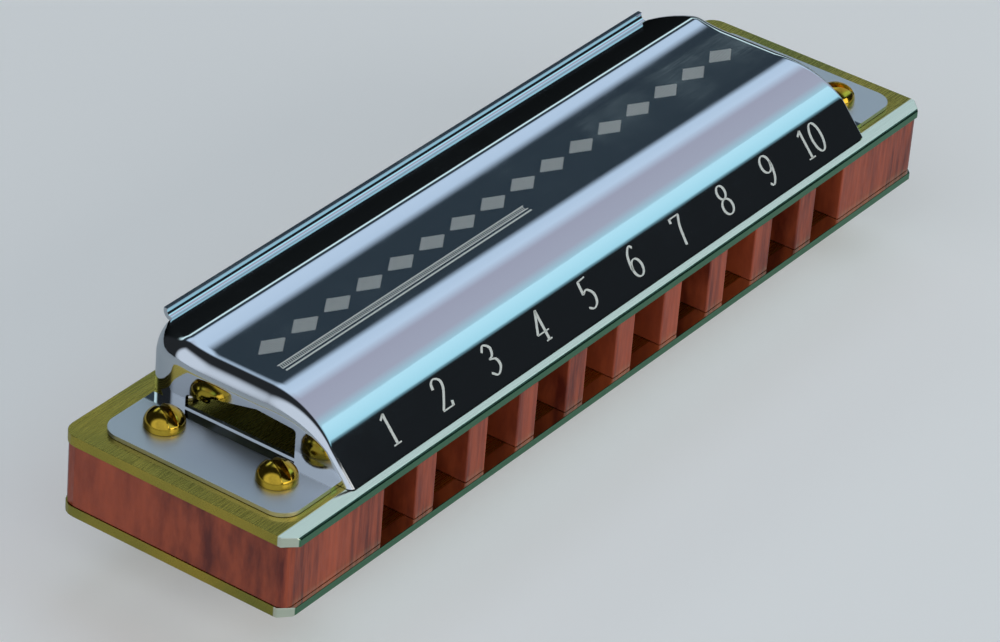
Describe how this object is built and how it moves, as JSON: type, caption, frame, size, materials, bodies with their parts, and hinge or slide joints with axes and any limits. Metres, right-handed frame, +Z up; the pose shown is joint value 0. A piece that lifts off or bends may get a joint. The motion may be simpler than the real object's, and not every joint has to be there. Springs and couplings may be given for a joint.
{
  "type": "diatonic harmonica",
  "caption": "Diatonic harmonica: wooden comb between brass reed plates with riveted reeds, and two formed steel covers held by slotted bolts and nuts.",
  "frame": {"origin": "under the middle of the harmonica, on the plane that its lower cover lies on", "axes": "+X along the mouthpiece from hole 1 towards hole 10, -Y out of the mouthpiece, +Z up through the upper cover"},
  "size_m": [0.0992, 0.0252, 0.0208],
  "materials": {
    "comb_wood": "stained and lacquered",
    "plate_brass": "rolled, bright",
    "reed_brass": "milled and filed",
    "rivet_brass": "headed",
    "bolt_brass": "turned and polished",
    "cover_steel": "pressed stainless steel, mirror polished",
    "screw_steel": "zinc plated"
  },
  "bodies": {
    "frame": {"comb": "comb_wood", "upper_reed_plate": "plate_brass", "lower_reed_plate": "plate_brass", "upper_cover": "cover_steel", "lower_cover": "cover_steel", "blow_rivet_1": "rivet_brass", "blow_rivet_2": "rivet_brass", "blow_rivet_3": "rivet_brass", "blow_rivet_4": "rivet_brass", "blow_rivet_5": "rivet_brass", "blow_rivet_6": "rivet_brass", "blow_rivet_7": "rivet_brass", "blow_rivet_8": "rivet_brass", "blow_rivet_9": "rivet_brass", "blow_rivet_10": "rivet_brass", "draw_rivet_1": "rivet_brass", "draw_rivet_2": "rivet_brass", "draw_rivet_3": "rivet_brass", "draw_rivet_4": "rivet_brass", "draw_rivet_5": "rivet_brass", "draw_rivet_6": "rivet_brass", "draw_rivet_7": "rivet_brass", "draw_rivet_8": "rivet_brass", "draw_rivet_9": "rivet_brass", "draw_rivet_10": "rivet_brass", "cover_bolt_front_left": "bolt_brass", "cover_bolt_rear_left": "bolt_brass", "cover_bolt_front_right": "bolt_brass", "cover_bolt_rear_right": "bolt_brass", "cover_nut_front_left": "bolt_brass", "cover_nut_rear_left": "bolt_brass", "cover_nut_front_right": "bolt_brass", "cover_nut_rear_right": "bolt_brass", "plate_screw_front_left": "screw_steel", "plate_screw_front_right": "screw_steel", "plate_screw_rear_left": "screw_steel", "plate_screw_rear_middle": "screw_steel", "plate_screw_rear_right": "screw_steel"},
    "blow_reed_1_body": {"blow_reed_1": "reed_brass"},
    "blow_reed_2_body": {"blow_reed_2": "reed_brass"},
    "blow_reed_3_body": {"blow_reed_3": "reed_brass"},
    "blow_reed_4_body": {"blow_reed_4": "reed_brass"},
    "blow_reed_5_body": {"blow_reed_5": "reed_brass"},
    "blow_reed_6_body": {"blow_reed_6": "reed_brass"},
    "blow_reed_7_body": {"blow_reed_7": "reed_brass"},
    "blow_reed_8_body": {"blow_reed_8": "reed_brass"},
    "blow_reed_9_body": {"blow_reed_9": "reed_brass"},
    "blow_reed_10_body": {"blow_reed_10": "reed_brass"},
    "draw_reed_1_body": {"draw_reed_1": "reed_brass"},
    "draw_reed_2_body": {"draw_reed_2": "reed_brass"},
    "draw_reed_3_body": {"draw_reed_3": "reed_brass"},
    "draw_reed_4_body": {"draw_reed_4": "reed_brass"},
    "draw_reed_5_body": {"draw_reed_5": "reed_brass"},
    "draw_reed_6_body": {"draw_reed_6": "reed_brass"},
    "draw_reed_7_body": {"draw_reed_7": "reed_brass"},
    "draw_reed_8_body": {"draw_reed_8": "reed_brass"},
    "draw_reed_9_body": {"draw_reed_9": "reed_brass"},
    "draw_reed_10_body": {"draw_reed_10": "reed_brass"}
  },
  "joints": [
    {"name": "blow_reed_1_flex", "type": "hinge", "parent": "frame", "child": "blow_reed_1_body", "pos_m": [-0.03375, -0.00755, 0.01326], "axis": [1, 0, 0], "range_deg": [-3, 3], "stiffness_Nm_per_rad": 0.0304},
    {"name": "blow_reed_2_flex", "type": "hinge", "parent": "frame", "child": "blow_reed_2_body", "pos_m": [-0.02625, -0.00755, 0.01326], "axis": [1, 0, 0], "range_deg": [-3, 3], "stiffness_Nm_per_rad": 0.0319},
    {"name": "blow_reed_3_flex", "type": "hinge", "parent": "frame", "child": "blow_reed_3_body", "pos_m": [-0.01875, -0.00755, 0.01326], "axis": [1, 0, 0], "range_deg": [-3, 3], "stiffness_Nm_per_rad": 0.0335},
    {"name": "blow_reed_4_flex", "type": "hinge", "parent": "frame", "child": "blow_reed_4_body", "pos_m": [-0.01125, -0.00755, 0.01326], "axis": [1, 0, 0], "range_deg": [-3, 3], "stiffness_Nm_per_rad": 0.0352},
    {"name": "blow_reed_5_flex", "type": "hinge", "parent": "frame", "child": "blow_reed_5_body", "pos_m": [-0.00375, -0.00755, 0.01326], "axis": [1, 0, 0], "range_deg": [-3, 3], "stiffness_Nm_per_rad": 0.0369},
    {"name": "blow_reed_6_flex", "type": "hinge", "parent": "frame", "child": "blow_reed_6_body", "pos_m": [0.00375, -0.00755, 0.01326], "axis": [1, 0, 0], "range_deg": [-3, 3], "stiffness_Nm_per_rad": 0.0388},
    {"name": "blow_reed_7_flex", "type": "hinge", "parent": "frame", "child": "blow_reed_7_body", "pos_m": [0.01125, -0.00755, 0.01326], "axis": [1, 0, 0], "range_deg": [-3, 3], "stiffness_Nm_per_rad": 0.0407},
    {"name": "blow_reed_8_flex", "type": "hinge", "parent": "frame", "child": "blow_reed_8_body", "pos_m": [0.01875, -0.00755, 0.01326], "axis": [1, 0, 0], "range_deg": [-3, 3], "stiffness_Nm_per_rad": 0.0428},
    {"name": "blow_reed_9_flex", "type": "hinge", "parent": "frame", "child": "blow_reed_9_body", "pos_m": [0.02625, -0.00755, 0.01326], "axis": [1, 0, 0], "range_deg": [-3, 3], "stiffness_Nm_per_rad": 0.0449},
    {"name": "blow_reed_10_flex", "type": "hinge", "parent": "frame", "child": "blow_reed_10_body", "pos_m": [0.03375, -0.00755, 0.01326], "axis": [1, 0, 0], "range_deg": [-3, 3], "stiffness_Nm_per_rad": 0.0471},
    {"name": "draw_reed_1_flex", "type": "hinge", "parent": "frame", "child": "draw_reed_1_body", "pos_m": [-0.03375, -0.00755, 0.00606], "axis": [1, 0, 0], "range_deg": [-3, 3], "stiffness_Nm_per_rad": 0.0311},
    {"name": "draw_reed_2_flex", "type": "hinge", "parent": "frame", "child": "draw_reed_2_body", "pos_m": [-0.02625, -0.00755, 0.00606], "axis": [1, 0, 0], "range_deg": [-3, 3], "stiffness_Nm_per_rad": 0.0327},
    {"name": "draw_reed_3_flex", "type": "hinge", "parent": "frame", "child": "draw_reed_3_body", "pos_m": [-0.01875, -0.00755, 0.00606], "axis": [1, 0, 0], "range_deg": [-3, 3], "stiffness_Nm_per_rad": 0.0344},
    {"name": "draw_reed_4_flex", "type": "hinge", "parent": "frame", "child": "draw_reed_4_body", "pos_m": [-0.01125, -0.00755, 0.00606], "axis": [1, 0, 0], "range_deg": [-3, 3], "stiffness_Nm_per_rad": 0.0361},
    {"name": "draw_reed_5_flex", "type": "hinge", "parent": "frame", "child": "draw_reed_5_body", "pos_m": [-0.00375, -0.00755, 0.00606], "axis": [1, 0, 0], "range_deg": [-3, 3], "stiffness_Nm_per_rad": 0.038},
    {"name": "draw_reed_6_flex", "type": "hinge", "parent": "frame", "child": "draw_reed_6_body", "pos_m": [0.00375, -0.00755, 0.00606], "axis": [1, 0, 0], "range_deg": [-3, 3], "stiffness_Nm_per_rad": 0.04},
    {"name": "draw_reed_7_flex", "type": "hinge", "parent": "frame", "child": "draw_reed_7_body", "pos_m": [0.01125, -0.00755, 0.00606], "axis": [1, 0, 0], "range_deg": [-3, 3], "stiffness_Nm_per_rad": 0.042},
    {"name": "draw_reed_8_flex", "type": "hinge", "parent": "frame", "child": "draw_reed_8_body", "pos_m": [0.01875, -0.00755, 0.00606], "axis": [1, 0, 0], "range_deg": [-3, 3], "stiffness_Nm_per_rad": 0.0442},
    {"name": "draw_reed_9_flex", "type": "hinge", "parent": "frame", "child": "draw_reed_9_body", "pos_m": [0.02625, -0.00755, 0.00606], "axis": [1, 0, 0], "range_deg": [-3, 3], "stiffness_Nm_per_rad": 0.0465},
    {"name": "draw_reed_10_flex", "type": "hinge", "parent": "frame", "child": "draw_reed_10_body", "pos_m": [0.03375, -0.00755, 0.00606], "axis": [1, 0, 0], "range_deg": [-3, 3], "stiffness_Nm_per_rad": 0.0489}
  ]
}
